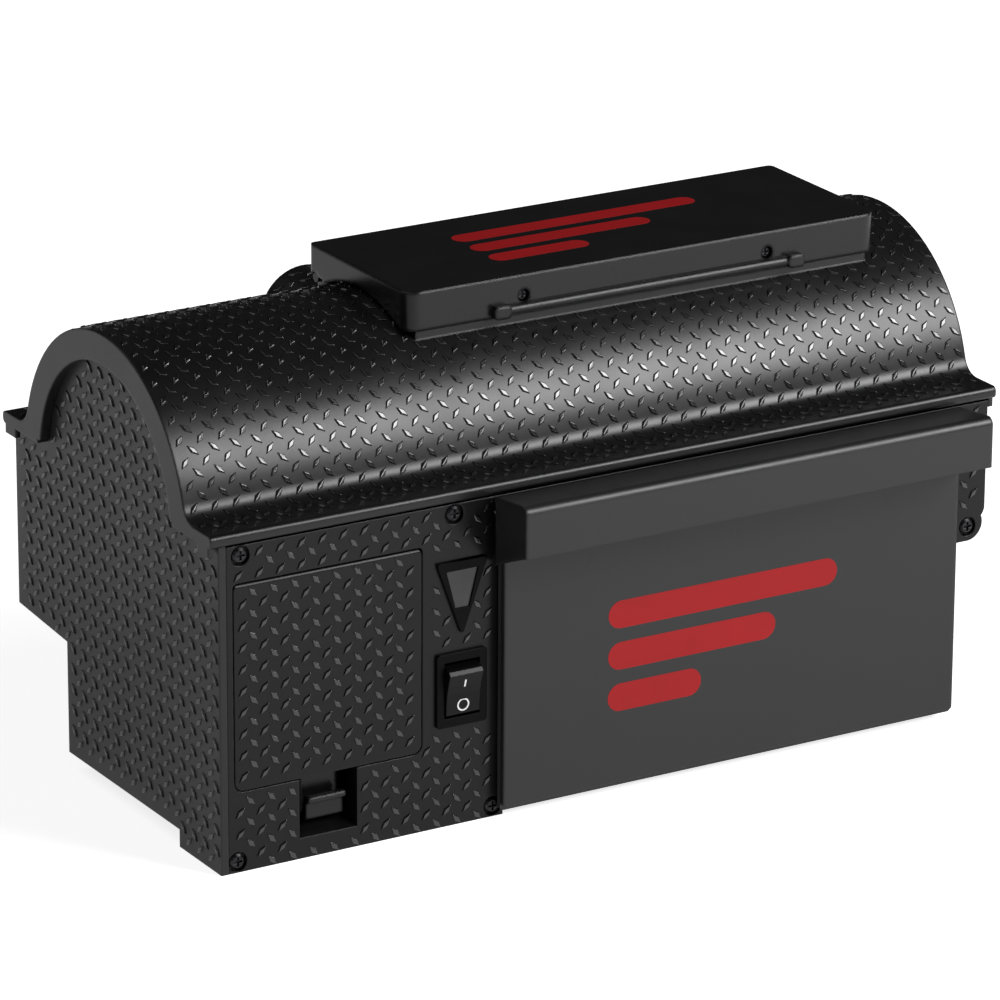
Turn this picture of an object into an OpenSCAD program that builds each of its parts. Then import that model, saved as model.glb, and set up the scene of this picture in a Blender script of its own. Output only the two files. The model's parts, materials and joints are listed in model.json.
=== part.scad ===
// Electronic multi-catch mouse trap: a black box housing with a barrel-shaped cover, a bait lid,
// a turning high-voltage chamber and a pull-out drawer that collects the catch.
// Lengths are millimetres.  Inside the modules X runs along the length from the left end,
// Y runs back from the front panel's face and Z runs up from the floor.

/* [Housing] */
// Length of the housing between its end walls
body_l = 243; // [240:1:246]
// Depth of the housing from the front panel to the rear wall
body_d = 117; // [116:1:118]
// Height of the housing's rim, where the cover sits
rim_z = 92.5; // [92:0.1:93]
// Thickness of the moulded walls
wall = 2.4; // [2:0.1:2.6]
// Depth of the lower body, in front of the mouse run
lower_d = 88; // [87:1:89]
// Height of the run's ceiling at its inner edge
run_z_in = 37.4; // [36:0.1:38]
// Height of the run's ceiling at the rear wall
run_z_out = 39.6; // [38.5:0.1:41]
// Height of the base plate above the floor
base_z = 5; // [4.5:0.1:5.5]
// Depth of the front foot
foot_d = 23.5; // [20:0.5:26]
// Length of the lower body, up to its undercut right end
lower_l = 231; // [230:0.5:232]
// Height of the undercut at the right end
undercut_z = 57.5; // [56:0.5:59]

/* [Cover] */
// Outer radius of the barrel
dome_r = 46.5; // [46:0.1:47]
// Height of the barrel's centre
dome_z = 88; // [87.5:0.1:88.5]
// Thickness of the cover's flange
flange_t = 3.5; // [3:0.1:4]
// Overhang of the flange at the front and rear
lip = 1.5; // [1:0.1:2]
// Overhang of the flange and the end rim at the left end
left_lip = 3; // [2.5:0.1:3.5]
// Overhang of the flange and the end rim at the right end
right_lip = 1.6; // [1.4:0.1:2]
// Radius of the hollow between the barrel and the flange
cove_r = 6; // [4:0.5:7]
// Radial width of the end rims
rim_w = 8.5; // [7:0.5:9]
// How far the corner tabs hang below the flange
tab_drop = 2.6; // [2:0.1:4]

/* [Bait lid] */
// Left end of the lid
lid_x = 75.2; // [75:0.1:76]
// Length of the lid
lid_l = 150.8; // [150:0.1:151]
// Depth of the lid
lid_d = 54; // [53.5:0.1:54]
// Height of the lid's top face
lid_z = 140.5; // [140:0.1:142]
// Height of the lid's front edge
lid_edge_z = 129.5; // [129.5:0.1:130]
// Wall of the lid
lid_wall = 2; // [1.6:0.1:2.2]
// Opening angle shown: 0 is shut
lid_open = 0; // [0:5:100]

/* [Drawer] */
// Left edge of the drawer front
drawer_x = 84.4; // [84:0.1:85]
// Width of the drawer front
drawer_w = 146.6; // [146:0.1:147]
// How far the drawer front stands out of the panel
drawer_proud = 4; // [3.5:0.1:4.5]
// How far the handle stands out of the panel
handle_reach = 18.5; // [18:0.5:20]
// Height of the handle's top edge
handle_z = 94; // [93:0.1:94.2]
// Height of the handle's lip
handle_h = 14.4; // [12:0.1:16]
// Drawer travel shown: 0 is shut
drawer_open = 0; // [0:5:80]

/* [Battery door] */
// Left edge of the door
door_x = 4.4; // [4.2:0.1:5]
// Width of the door
door_w = 56.6; // [56:0.1:57]
// Lower edge of the door
door_z = 23; // [22.8:0.1:23.4]
// Height of the door
door_h = 58; // [57.5:0.1:58.4]
// Gap round the door
door_gap = 0.35; // [0.3:0.05:0.45]

/* [Chamber] */
// Outer radius of the turning trough
drum_r = 21; // [20:0.1:21.2]
// Left end of the trough
drum_x = 77; // [76.8:0.1:77.2]
// Length of the trough
drum_l = 142.4; // [141:0.1:142.6]
// Height of the trough's axis
drum_z = 107; // [106.6:0.1:107.2]
// Module of the gears
gear_m = 1; // [1:0.1:1]
// Teeth of the gear on the trough
drum_teeth = 40; // [40:2:40]
// Teeth of the idler gear
idler_teeth = 16; // [16:2:16]
// Teeth of the motor pinion
pinion_teeth = 12; // [12:2:12]

/* [Entry] */
// Place along the length of the entry hood and the chamber's entry hole
entry_x = 90.6; // [90:0.1:91]
// Outer radius of the entry hood
hood_r = 14; // [13.5:0.1:14.5]
// Height of the hood arch's centre
hood_z = 109.4; // [109:0.1:110]
// Height of the stair landing
landing_z = 88; // [86:0.5:88]
// Depth of one stair tread
tread = 8; // [7:0.5:9]

/* [Hidden] */
$fn = 48;
eps = 0.01;                                // reach of a cut past the face that it opens
far = 400;                                 // larger than the whole object

// The frame's origin is under the centre of the whole object's box.
origin_x = (body_l + right_lip - left_lip) / 2;
origin_y = (body_d + lip - handle_reach) / 2;

// Cover
dome_y = body_d / 2;
flange_z = rim_z + flange_t;
dome_in = dome_r - wall;
cove_z = flange_z + cove_r;
bead_r = 1.4;                              // round of the flange's edges
cove_dy = sqrt(pow(dome_r + cove_r, 2) - pow(cove_z - dome_z, 2));
tympan_r = dome_in - 0.3;

// Front panel and its fasteners: [x, z] of each screw
panel_x = 2.3;
panel_top = rim_z - 0.7;
bay_x = 86.4;                              // left side of the drawer bay
bay_x2 = lower_l - wall;                   // right side of the drawer bay
strip_x = 229.4;                           // left edge of the panel's right strip
strip_z = 86.5;                            // lower edge of the panel's top strip
boss_x = 237.3;
boss_z = 56.3;
boss_r = 5;
post_r = 3.4;
post_l = 11;
foot_x = [14, lower_l - 14];
foot_y = lower_d - 12;
foot_stem = 2;
screw_at = [[6.5, 88.9], [71.1, 88.9], [4.9, 3.1], [83.2, 3.1], [237.3, 55.6]];
head_r = 2.25;
head_t = 1.5;
seat_r = 2.8;                              // counterbore round a screw's head
beam_z = 85.6;                             // underside of the beam behind the panel's top edge
beam_y = 5.4;

// Latch recess under the battery door
recess_x = 23.6;
recess_w = 17.6;
recess_z = 5.8;
latch_x = 26.8;
latch_w = 11.1;
latch_top = 16.5;
latch_y = 6;
latch_pivot_z = 22;
latch_t = 1.2;
ramp_d = 6;                                // depth of the finger ramp in front of the latch
door_edge = wall / 2;                      // half round on the door's top edge, which it tilts on

// Power switch: a rocker that is pressed in at its lower, off side
bezel_x = 65.3;
bezel_w = 15.4;
bezel_z = 28.9;
bezel_h = 21;
rocker_y = 3;
rocker_z = bezel_z + bezel_h / 2;
rocker_w = 10.3;
rocker_tilt = 10;
rocker_pin_r = 1;

// Indicator: a triangle that points down
tri_x = 73.1;
tri_w = 15.8;
tri_top = 75.8;
tri_tip = 54.4;
window_top = [9.8, 73.2];                  // [width, height] of the window's upper and lower edges
window_foot = [4.2, 62.4];

// Four C cells, two by two, lying front to back
cell_r = 13.05;
cell_l = 47.6;
cell_nub = 1.6;
cell_y = 10;
cell_pitch = 26.8;
cell_x0 = 19.3;
cell_z0 = 38.4;
case_y = 8.2;
case_l = 58;
case_wall = 1.6;

// Bait lid
lid_y = 32;
lid_r = 4;
lid_rear_r = 1.6;
hinge_y = 82.8;
hinge_z = 131.5;
hinge_pin_r = 1.5;
lug_r = 2.6;
lug_w = 3;
lid_rear_z = 132;
mouth_x = 84;
mouth_l = 134;
mouth_y = 40;
mouth_d = 37;
coaming_t = 2;
coaming_z = 136;
plinth_in = 1;                             // plinth's inset from the lid's front
plinth_end = 3;                            // plinth's inset from the lid's ends
plinth_d = 46.6;
plinth_z = 129.2;
pull_x = 104.3;
pull_l = 93.4;
pull_z = 131.2;
pull_r = 1.5;
lid_screw_x = [111.5, 189.7];
lid_screw_z = 134.4;
liner_z = 129.9;

// Interlock switches: [x, y, z] of each plunger's outer end
lid_plunger = [150, 36.1, 130.2];
drawer_plunger = [206, 76.4, 58];
plunger_r = 1.1;

// Chamber frame and gear train
frame_x = 66;
frame_x2 = 221.5;
frame_t = 3;
drum_y = dome_y;
drum_in = drum_r - 2;
drum_disc = 2.4;
drum_floor = drum_z - 15;
drum_mouth = 47;                           // half angle of the trough's open top
journal_r = 4;
bush_r = 6;
gear_x = 71;
gear_w = 5;
drum_pitch = gear_m * drum_teeth / 2;
idler_pitch = gear_m * idler_teeth / 2;
pinion_pitch = gear_m * pinion_teeth / 2;
idler_dir = 190;                           // from the trough's axis to the idler's, about X from +Y
pinion_dir = 262;                          // from the idler's axis to the pinion's
idler_yz = [drum_y + (drum_pitch + idler_pitch) * cos(idler_dir),
            drum_z + (drum_pitch + idler_pitch) * sin(idler_dir)];
pinion_yz = [idler_yz[0] + (idler_pitch + pinion_pitch) * cos(pinion_dir),
             idler_yz[1] + (idler_pitch + pinion_pitch) * sin(pinion_dir)];
drum_phase = idler_dir;
idler_phase = idler_dir + 180 + 180 / idler_teeth;
idler_lead = (pinion_dir - idler_phase) - floor((pinion_dir - idler_phase) * idler_teeth / 360)
             * 360 / idler_teeth;
pinion_phase = pinion_dir + 180 + idler_lead * idler_teeth / pinion_teeth + 180 / pinion_teeth;
backlash = 0.16;
gear_pin_r = 1.5;
fit = 0.05;                                // radial clearance of a running fit
ring_x = [227.5, 232.5];
ring_r = 5;
ring_w = 2.4;
entry_z = 102;
entry_r = 10.5;
tunnel_r = 12;

// Drawer
drawer_screw_x = [110, 158, 206];
drawer_screw_z = 70;
handle_r = 2.2;                            // round of the handle's top front edge
tray_x = 88;
tray_x2 = 227;
tray_y2 = 76;
tray_z = 8.2;
tray_top = 78;
tray_wall = 1.8;

// Rear run and stairs
run_y = lower_d;
run_y2 = body_d - wall;
stair_y = run_y + 0.6;
stair_w = run_y2 - run_y - 1.2;
stair_steps = 12;
landing_x = [entry_x - 12, entry_x + 13.4];
left_foot_x = 19;
stair_t = 3;
left_hatch = [25, 34];                     // [left end, length] of the opening over each flight
right_hatch = [139, 53];

// Circuit board
board_x = 81.4;
board_t = 1.6;
board_y = 22;
board_d = 58;
board_z = 22;
board_h = 54;

module placed() {
    translate([-origin_x, -origin_y, 0]) children();
}

// Extrudes a Y-Z outline along X.
module along_x(x, length) {
    translate([x, 0, 0]) rotate([90, 0, 90]) linear_extrude(length) children();
}

// Extrudes an X-Z outline along Y.
module along_y(y, length) {
    translate([0, y + length, 0]) rotate([90, 0, 0]) linear_extrude(length) children();
}

module rod_x(x, y, z, length, r) {
    along_x(x, length) translate([y, z]) circle(r);
}

module rod_y(x, y, z, length, r) {
    along_y(y, length) translate([x, z]) circle(r);
}

module block(x, y, z, l, d, h) {
    translate([x, y, z]) cube([l, d, h]);
}

module round_rect(x, y, w, h, r) {
    translate([x + r, y]) square([w - 2 * r, h]);
    translate([x, y + r]) square([w, h - 2 * r]);
    for (cx = [x + r, x + w - r], cy = [y + r, y + h - r]) translate([cx, cy]) circle(r);
}

// Pan-head screw along +Y: its head's face is at y, and the head's rim slopes back to its full radius.
module screw_y(x, y, z, length, r, hr, ht) {
    rod_y(x, y + ht - eps, z, length, r);
    difference() {
        union() {
            rod_y(x, y + ht * 0.4, z, ht * 0.6, hr);
            translate([x, y + ht * 0.4 + eps, z]) rotate([90, 0, 0])
                cylinder(r1 = hr, r2 = hr * 0.72, h = ht * 0.4 + eps);
        }
        for (turn = [0, 90]) translate([x, y, z]) rotate([0, turn, 0])
            translate([-hr * 0.6, -eps, -hr * 0.14]) cube([hr * 1.2, ht * 0.55, hr * 0.28]);
    }
}

module screw_z(x, y, z, length, r, hr, ht) {
    translate([x, y, z - length]) cylinder(r = r, h = length + eps);
    difference() {
        translate([x, y, z]) cylinder(r = hr, h = ht);
        for (turn = [0, 90]) translate([x, y, z + ht * 0.45]) rotate([0, 0, turn])
            translate([-hr * 0.6, -hr * 0.14, 0]) cube([hr * 1.2, hr * 0.28, ht]);
    }
}

// ---- Housing -------------------------------------------------------------------------------

module body_outline() {
    polygon([[0, 0], [foot_d, 0], [foot_d, base_z], [lower_d, base_z], [lower_d, run_z_in],
             [body_d, run_z_out], [body_d, rim_z], [0, rim_z]]);
}

module tympan() {
    intersection() {
        translate([dome_y, dome_z]) circle(tympan_r);
        translate([0, rim_z - 1]) square([body_d, far]);
    }
}

module housing_posts() {
    for (s = [0, 1]) {
        rod_y(screw_at[s][0], wall, screw_at[s][1], post_l, post_r);
    }
    block(wall - eps, wall, screw_at[0][1] - 2, 4, 8, 4);
    for (s = [2, 3]) {
        block(screw_at[s][0] - 3, wall, 0.4, 6, 12, base_z + 1);
    }
    rod_y(boss_x, wall, boss_z, 10, boss_r);
    block(boss_x - boss_r, wall, boss_z, 2 * boss_r, 10, undercut_z - boss_z + 1);
    block(wall - eps, wall, beam_z, body_l - 2 * wall + 2 * eps, beam_y - wall, rim_z - beam_z);
}

module cover_post(x) {
    block(x - 4, run_y2 - 9, run_z_out + 1, 8, 9 + eps, rim_z - run_z_out - 1);
}

module base_housing() {
    inner_y = lower_d - wall;
    floor_z = base_z + wall;
    color([0.07, 0.07, 0.075]) placed() difference() {
        union() {
            difference() {
                union() {
                    along_x(0, body_l) body_outline();
                    for (x = [0, body_l - wall]) along_x(x, wall) tympan();
                }
                // battery and electronics bay, drawer bay, upper right bay, stairwell
                block(wall, -eps, floor_z, bay_x - 2 * wall, inner_y + eps, far);
                block(bay_x, -eps, floor_z, bay_x2 - bay_x, inner_y + eps, far);
                block(bay_x2 - eps, -eps, undercut_z + wall, body_l - wall - bay_x2 + eps,
                      inner_y + eps, far);
                block(wall, run_y, run_z_out + 2, body_l - 2 * wall, run_y2 - run_y, far);
                // lower the inner walls to clear the chamber
                block(wall, inner_y - 1, landing_z - 2, body_l - 2 * wall, wall + 2, far);
                block(wall + 1, -eps, 80.4, bay_x, inner_y, far);
                // undercut right end
                block(lower_l, -1, -1, far, far, undercut_z + 1);
                // foot: narrower behind the drawer front, hollow from below
                block(bay_x, -1, -1, far, wall + 3.2, base_z + 1);
                block(3, 16, -1, bay_x - 6, foot_d - 19, base_z + 1);
                block(bay_x + 3, 8.6, -1, lower_l - bay_x - 6, foot_d - 11.6, base_z + 1);
                // stair openings in the run's ceiling
                for (hatch = [left_hatch, right_hatch])
                    block(hatch[0], run_y, run_z_in - 1, hatch[1], run_y2 - run_y, 8);
                // seat of the front panel
                block(panel_x - 0.1, -1, -1, far, wall + 1, far);
            }
            housing_posts();
            for (x = [9, body_l - 9]) cover_post(x);
            // runners for the drawer
            for (x = [bay_x + 6, bay_x2 - 9]) block(x, 8, floor_z - eps, 3, inner_y - 10, 0.5 + eps);
        }
        for (s = screw_at) rod_y(s[0], wall - 1, s[1], 13, 1.1);
        for (x = [9, body_l - 9]) translate([x, run_y2 - 4.5, rim_z - 14]) cylinder(r = 1.1, h = 15);
        // room for the latch recess, and holes for the feet's stems
        block(recess_x - 1.5, -1, recess_z - 1.6, recess_w + 3, ramp_d + 1.1, 18);
        for (x = foot_x) translate([x, foot_y, base_z - 1]) cylinder(r = foot_stem + fit, h = wall + 2);
        // jack hole in the lower rear wall
        rod_y(72, lower_d - wall - 1, 20.5, wall + 2, 4);
        // vents low in the right bay wall
        for (z = [24, 30, 36]) block(bay_x2 - 1, 30, z, wall + 2, 30, 2);
    }
}

module panel_outline() {
    difference() {
        union() {
            translate([panel_x, 0]) square([bay_x - panel_x, panel_top]);
            translate([bay_x - 1, strip_z]) square([body_l - bay_x + 1, panel_top - strip_z]);
            difference() {
                translate([strip_x, undercut_z - 0.6]) square([body_l - strip_x, panel_top - undercut_z]);
                translate([body_l - 4, undercut_z - 0.7]) square([5, 4.1]);
            }
            translate([body_l - 4, undercut_z + 3.4]) circle(4);
            translate([boss_x, boss_z]) circle(boss_r);
            translate([strip_x, boss_z - boss_r]) square([boss_x - strip_x, boss_r + 2]);
        }
        // the door's opening has tighter corners at the top, where the door turns
        round_rect(door_x - door_gap, door_z - door_gap, door_w + 2 * door_gap, door_h + 2 * door_gap, 3);
        round_rect(door_x - door_gap, door_z + 20, door_w + 2 * door_gap, door_h + door_gap - 20, 1.4);
        translate([recess_x, recess_z]) square([recess_w, door_z - recess_z]);
        translate([bezel_x + 1.1, bezel_z + 1.1]) square([bezel_w - 2.2, bezel_h - 2.2]);
        indicator_outline(1.3);
    }
}

module front_panel() {
    color([0.07, 0.07, 0.075]) placed() difference() {
        union() {
            along_y(0, wall) panel_outline();
            // latch recess: side walls and a ramp that leads the finger up to the latch
            for (x = [recess_x - 1.4, recess_x + recess_w])
                block(x, wall - eps, recess_z - 1.5, 1.4, ramp_d - wall, 17);
            along_x(recess_x - 0.5, recess_w + 1)
                polygon([[0, recess_z - 1.4], [0, recess_z + eps], [ramp_d, recess_z + 2.6],
                         [ramp_d, recess_z + 1.2]]);
        }
        for (s = screw_at) {
            rod_y(s[0], -1, s[1], wall + 2, 1.45);
            rod_y(s[0], -1, s[1], 2.4, seat_r);
        }
    }
}

module front_screws() {
    color([0.12, 0.12, 0.13]) placed()
        for (s = screw_at) screw_y(s[0], -0.1, s[1], 9.5, 1.05, head_r, head_t);
}

module cover_screws() {
    color([0.12, 0.12, 0.13]) placed() for (x = [9, body_l - 9])
        screw_z(x, run_y2 - 4.5, flange_z - 1.2, 11, 1.05, head_r, 1.6);
}

module rubber_feet() {
    color([0.03, 0.03, 0.03]) placed() for (x = foot_x) {
        translate([x, foot_y, 0]) cylinder(r = 7, h = base_z);
        translate([x, foot_y, base_z - eps]) cylinder(r = foot_stem, h = wall);
    }
}

// ---- Cover ---------------------------------------------------------------------------------

module cove_fill(side) {
    y = dome_y + side * cove_dy;
    inner_y = y - side * cove_dy * 0.3;
    inner_z = cove_z - (cove_z - dome_z) * 0.3;
    difference() {
        polygon([[y, flange_z - 1], [y, cove_z], [inner_y, inner_z], [inner_y, flange_z - 1]]);
        translate([y, cove_z]) circle(cove_r);
    }
}

module cover_outline() {
    intersection() {
        union() {
            translate([dome_y, dome_z]) circle(dome_r);
            for (side = [-1, 1]) cove_fill(side);
            round_rect(-lip, rim_z, body_d + 2 * lip, flange_t, bead_r);
        }
        translate([-far, rim_z]) square(2 * far);
    }
}

// The band of an end rim: the cover's outline less the opening that the end wall shows through.
module rim_outline() {
    open_r = dome_r - rim_w;
    difference() {
        cover_outline();
        translate([dome_y, dome_z]) circle(open_r);
        translate([dome_y - open_r - 1, rim_z - 1]) square([2 * open_r + 2, 2.2]);
    }
}

module hood_outline(r) {
    translate([entry_x, hood_z]) circle(r);
    translate([entry_x - r, rim_z + 1]) square([2 * r, hood_z - rim_z - 1]);
}

module lug(x) {
    rod_x(x, hinge_y, hinge_z, lug_w, lug_r);
    block(x, hinge_y - lug_r, hinge_z - 7, lug_w, 2 * lug_r, 7);
}

module top_cover() {
    mouth = [mouth_x - coaming_t, mouth_y - coaming_t, mouth_l + 2 * coaming_t, mouth_d + 2 * coaming_t];
    color([0.07, 0.07, 0.075]) placed() difference() {
        union() {
            difference() {
                union() {
                    along_x(0, body_l) cover_outline();
                    // plinth under the lid
                    block(lid_x + plinth_end, lid_y + plinth_in, 115, lid_l - 2 * plinth_end,
                          plinth_d, plinth_z - 115);
                    block(mouth[0], mouth[1], 120, mouth[2], mouth[3], coaming_z - 120);
                    along_y(80, body_d - 80) hood_outline(hood_r);
                }
                // inside of the barrel, the bait mouth and the inside of the hood
                rod_x(-1, dome_y, dome_z, body_l + 2, dome_in);
                block(mouth_x, mouth_y, 110, mouth_l, mouth_d, far);
                along_y(70, body_d - wall - 70) translate([0, -2]) hood_outline(hood_r - wall);
            }
            // end rims and corner tabs
            along_x(-left_lip, left_lip) rim_outline();
            along_x(body_l, right_lip) rim_outline();
            for (x = [-left_lip, body_l + right_lip - 1.5], y = [0, body_d - 6])
                block(x, y, rim_z - tab_drop, 1.5, 6, tab_drop + 1);
            for (x = [lid_x + lid_wall + 0.4, lid_x + lid_l - lid_wall - 0.4 - lug_w]) lug(x);
            // seat of the lid's interlock switch
            block(lid_plunger[0] - 4, lid_plunger[1] - 2.4, 123, 8, 4.8, 3.6);
        }
        rod_x(lid_x, hinge_y, hinge_z, lid_l, hinge_pin_r + fit);
        translate([lid_plunger[0], lid_plunger[1], 115]) cylinder(r = plunger_r + 0.2, h = 20);
        for (x = [9, body_l - 9]) translate([x, run_y2 - 4.5, rim_z - 1]) {
            cylinder(r = 1.45, h = 9);
            translate([0, 0, flange_t - 0.2]) cylinder(r = head_r + 0.3, h = 9);
        }
    }
}

// ---- Stairs and chamber frame --------------------------------------------------------------

// Top line of a flight that climbs from x = foot to x = top in equal steps.
function flight(foot, top, steps) =
    [for (i = [0:steps - 1]) each [[foot + (top - foot) * i / steps, landing_z * (i + 1) / steps],
                                   [foot + (top - foot) * (i + 1) / steps, landing_z * (i + 1) / steps]]];

module entry_stairs() {
    right_foot_x = landing_x[1] + stair_steps * tread;
    left_line = flight(left_foot_x, landing_x[0], stair_steps);
    right_line = flight(right_foot_x, landing_x[1], stair_steps);
    left_run = landing_x[0] - left_foot_x;
    right_run = right_foot_x - landing_x[1];
    left_t = stair_t * sqrt(pow(left_run, 2) + pow(landing_z, 2)) / landing_z;
    right_t = stair_t * sqrt(pow(right_run, 2) + pow(landing_z, 2)) / landing_z;
    color([0.10, 0.10, 0.105]) placed() {
        along_y(stair_y, stair_w) polygon(concat(
            [[left_foot_x, 0]], left_line, [for (i = [len(right_line) - 1:-1:0]) right_line[i]],
            [[right_foot_x, 0], [right_foot_x - right_t - tread, 0],
             [landing_x[1] - 1, landing_z - stair_t - 7], [landing_x[0] + 1, landing_z - stair_t - 7],
             [left_foot_x + left_t + 5, 0]]));
        // kerbs along the landing keep the mouse on the way to the hole
        block(landing_x[0], stair_y + stair_w - 1.2, landing_z - eps, landing_x[1] - landing_x[0], 1.2, 4);
    }
}

module frame_plate(x) {
    along_x(x, frame_t) intersection() {
        union() {
            translate([beam_y, 82.4]) square([lower_d - wall - beam_y, rim_z - 82.4 + 1]);
            translate([16, rim_z]) square([70, 32]);
        }
        union() {
            translate([dome_y, dome_z]) circle(dome_in - 0.6);
            translate([beam_y, 82.4]) square([lower_d - wall - beam_y, rim_z - 82.6]);
        }
    }
}

module chamber_frame() {
    chute_l = frame_x2 - bay_x + 1;
    color([0.09, 0.09, 0.095]) placed() difference() {
        union() {
            for (x = [frame_x, frame_x2]) frame_plate(x);
            // chute walls in front of and behind the trough
            block(bay_x, 31, 84, chute_l, 2, 20);
            along_x(bay_x - 20, chute_l + 20)
                polygon([[84, 104], [86, 104], [75.5, 83], [73.5, 83]]);
            // sloping deck over the electronics bay
            along_y(37.5, 37) polygon([[frame_x + 1, 82.6], [frame_x + 1, 84.9], [80, 84.9],
                                       [91, 80.6], [91, 79.2], [79.8, 83.4]]);
            // short tunnel from the landing to the chamber's entry
            rod_y(entry_x, 72, entry_z, run_y - 72 + 4, tunnel_r + 1.4);
        }
        rod_y(entry_x, 60, entry_z, 40, tunnel_r);
        rod_y(screw_at[1][0], wall, screw_at[1][1], post_l + 0.2, post_r + 0.2);
        // room for the trough and its gear to turn
        rod_x(frame_x + frame_t, drum_y, drum_z, frame_x2 - frame_x - frame_t, drum_r + 0.9);
        for (x = [frame_x, frame_x2]) rod_x(x - 1, drum_y, drum_z, frame_t + 2, bush_r);
        rod_x(frame_x - 1, idler_yz[0], idler_yz[1], frame_t + 2, gear_pin_r);
        rod_x(frame_x - 1, pinion_yz[0], pinion_yz[1], frame_t + 2, gear_pin_r + 1);
        rod_x(gear_x - 1, idler_yz[0], idler_yz[1], gear_w + 2, idler_pitch + 2);
        rod_x(gear_x - 1, pinion_yz[0], pinion_yz[1], gear_w + 2, pinion_pitch + 2);
    }
}

// ---- Electrical parts ----------------------------------------------------------------------

// A triangle that points down, shrunk by inset on every side.
module indicator_outline(inset) {
    side = sqrt(pow(tri_w / 2, 2) + pow(tri_top - tri_tip, 2));
    tip = inset * side / (tri_w / 2);
    half = (tri_top - inset - tri_tip - tip) * (tri_w / 2) / (tri_top - tri_tip);
    polygon([[tri_x - half, tri_top - inset], [tri_x + half, tri_top - inset], [tri_x, tri_tip + tip]]);
}

// The same triangle with its corners cut back.
module blunt_outline(inset, top_w, tip_z) {
    intersection() {
        indicator_outline(inset);
        translate([tri_x - top_w / 2, tip_z]) square([top_w, far]);
    }
}

// The window narrows towards the tip and ends above it.
module window_outline(inset) {
    top = window_top[0] / 2 - inset;
    foot = window_foot[0] / 2 - inset;
    translate([tri_x, 0]) polygon([[-top, window_top[1] - inset], [top, window_top[1] - inset],
                                   [foot, window_foot[1] + inset], [-foot, window_foot[1] + inset]]);
}

module indicator_frame() {
    color([0.05, 0.05, 0.052]) placed() along_y(-0.9, 0.9) difference() {
        blunt_outline(0, tri_w - 0.8, tri_tip + 1);
        window_outline(0);
    }
}

module indicator_lens() {
    color([0.2, 0.2, 0.21]) placed() difference() {
        union() {
            along_y(-0.5, 0.5) window_outline(0.05);
            along_y(-eps, wall + 0.8) intersection() {
                window_outline(0.05);
                indicator_outline(1.6);
            }
        }
        rod_y(tri_x, 1.6, 67.5, 3, 2.6);
    }
}

module indicator_led() {
    color([0.75, 0.12, 0.1]) placed() {
        rod_y(tri_x, 3.3, 67.5, 5, 2.4);
        rod_y(tri_x, 8.3 - eps, 67.5, 1, 2.8);
        for (dz = [-1.27, 1.27]) block(tri_x - 0.25, 9.2, 67.5 + dz - 0.25, 0.5, 16, 0.5);
    }
}

module switch_body() {
    well_w = rocker_w + 0.6;
    well_h = 16;
    color([0.05, 0.05, 0.052]) placed() difference() {
        union() {
            along_y(-1, 1) round_rect(bezel_x, bezel_z, bezel_w, bezel_h, 0.8);
            block(bezel_x + 1.3, -eps, bezel_z + 1.3, bezel_w - 2.6, 13, bezel_h - 2.6);
        }
        block(bezel_x + (bezel_w - well_w) / 2, -2, rocker_z - well_h / 2, well_w, 11, well_h);
        rod_x(bezel_x + 1.6, rocker_y, rocker_z, bezel_w - 3.2, rocker_pin_r + fit);
    }
}

module switch_rocker() {
    x = bezel_x + (bezel_w - rocker_w) / 2;
    color([0.05, 0.05, 0.052]) placed() translate([0, rocker_y, rocker_z]) rotate([rocker_tilt, 0, 0]) {
        along_x(x, rocker_w) {
            polygon([[-5.6, 6], [-5.15, 2.5], [-5, 0], [-5.15, -2.5], [-5.6, -6], [-4.6, -6.9], [-1.6, -7.4],
                     [2.4, -5], [3, 0], [2.4, 5], [-1.6, 7.4], [-4.6, 6.9]]);
        }
        rod_x(x - 0.9, 0, 0, rocker_w + 1.8, rocker_pin_r);
    }
}

module switch_terminals() {
    color([0.75, 0.62, 0.35]) placed()
        for (dz = [-6, 0, 6]) difference() {
            block(bezel_x + bezel_w / 2 - 2.4, 13, rocker_z + dz - 0.4, 4.8, 8, 0.8);
            translate([bezel_x + bezel_w / 2, 18.5, rocker_z + dz - 2]) cylinder(r = 0.9, h = 4);
        }
}

module circuit_board() {
    color([0.05, 0.28, 0.12]) placed() difference() {
        block(board_x, board_y, board_z, board_t, board_d, board_h);
        for (y = [board_y + 4, board_y + board_d - 4], z = [board_z + 4, board_z + board_h - 4])
            rod_x(board_x - 1, y, z, board_t + 2, 1.6);
    }
}

// Two chips, a row of resistors, a relay and the wire headers.
module board_parts() {
    color([0.08, 0.08, 0.09]) placed() {
        block(board_x - 1.6, 30, 34, 1.6, 8, 10);
        block(board_x - 1.4, 44, 62, 1.4, 6, 5);
        block(board_x - 10, 66, 58, 10, 10, 15);
        block(board_x - 7, 66, 26, 7, 10, 6);
        for (i = [0:4]) rod_y(board_x - 1.2, 52 + eps, 60 + i * 3, 6, 1.1);
    }
}

module hv_transformer() {
    color([0.55, 0.42, 0.12]) placed() {
        block(board_x - 14, 44, 30, 14, 16, 5);
        block(board_x - 14, 44, 45, 14, 16, 5);
        rod_x(board_x - 13, 52, 40, 12, 6.5);
        block(board_x - 14, 44, 34.9, 14, 3, 10.2);
        block(board_x - 14, 57, 34.9, 14, 3, 10.2);
    }
}

module hv_capacitor() {
    color([0.1, 0.12, 0.3]) placed() {
        rod_x(board_x - 16, 34, 56, 15, 5);
        rod_x(board_x - 1 - eps, 34, 56, 1 + eps, 4.6);
    }
}

module dc_jack() {
    color([0.04, 0.04, 0.042]) placed() difference() {
        union() {
            block(67.5, 73, 15.5, 9, lower_d - wall - 73, 10.5);
            rod_y(72, lower_d - wall - eps, 20.5, wall + 1, 3.8);
        }
        difference() {
            rod_y(72, 76, 20.5, 20, 2.75);
            rod_y(72, 75, 20.5, 12, 1);
        }
    }
}

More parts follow.
